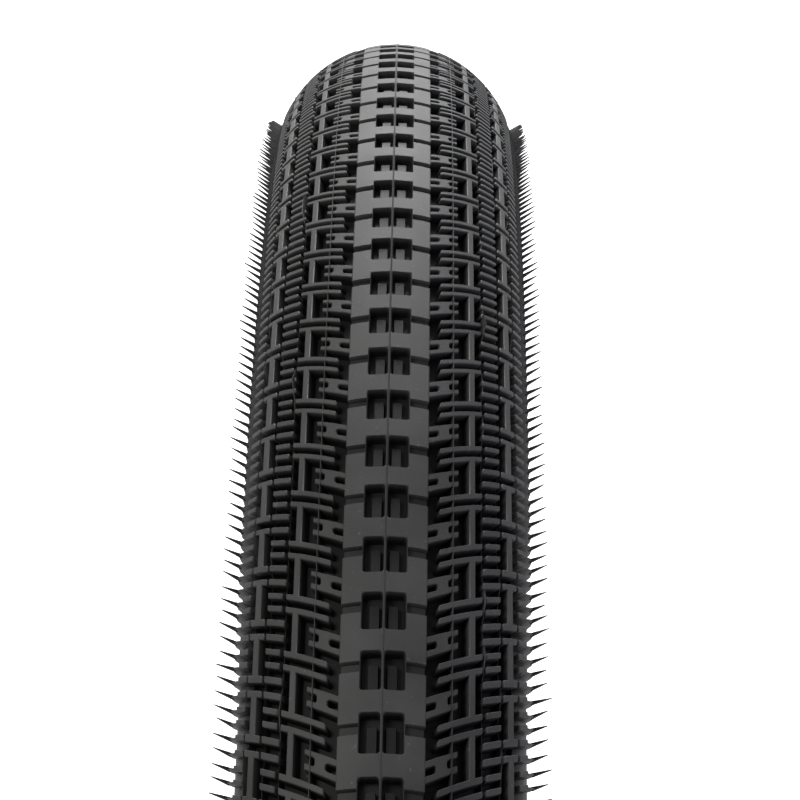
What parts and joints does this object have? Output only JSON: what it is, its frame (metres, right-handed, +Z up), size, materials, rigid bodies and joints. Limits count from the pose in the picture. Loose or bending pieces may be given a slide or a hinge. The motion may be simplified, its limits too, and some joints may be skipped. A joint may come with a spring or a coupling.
{
  "type": "bicycle tyre",
  "caption": "Bicycle clincher tyre with a raised centre strip, small side blocks, layered casing and wire beads.",
  "frame": {"origin": "wheel centre: the middle of the bead seats, on the wheel axis and in the wheel plane", "axes": "+Y along the wheel axis to the rider's left, +X forward, +Z up"},
  "size_m": [0.712, 0.0486, 0.712],
  "materials": {
    "tread_rubber": "matt black road rubber with a faint bloom",
    "sidewall_rubber": "thin satin black rubber with the cords just showing",
    "casing_fabric": "rubber-coated nylon cord, dark brown grey",
    "liner_rubber": "smooth dusty black rubber",
    "belt_rubber": "elastic puncture-belt rubber, dark green",
    "breaker_fabric": "woven aramid tape, straw coloured",
    "bead_steel": "bronze-coated steel wire",
    "bead_rubber": "hard black bead compound",
    "chafer_rubber": "hard black rubbed strip with fabric print"
  },
  "bodies": {
    "root": {"tread": "tread_rubber", "puncture_belt": "belt_rubber", "breaker_strip": "breaker_fabric", "casing_ply_outer": "casing_fabric", "casing_ply_inner": "casing_fabric", "inner_liner": "liner_rubber", "sidewall_left": "sidewall_rubber", "chafer_left": "chafer_rubber", "bead_wire_left": "bead_steel", "bead_gum_left": "bead_rubber", "bead_wrap_left": "casing_fabric", "bead_filler_left": "bead_rubber", "sidewall_right": "sidewall_rubber", "chafer_right": "chafer_rubber", "bead_wire_right": "bead_steel", "bead_gum_right": "bead_rubber", "bead_wrap_right": "casing_fabric", "bead_filler_right": "bead_rubber"}
  },
  "joints": []
}
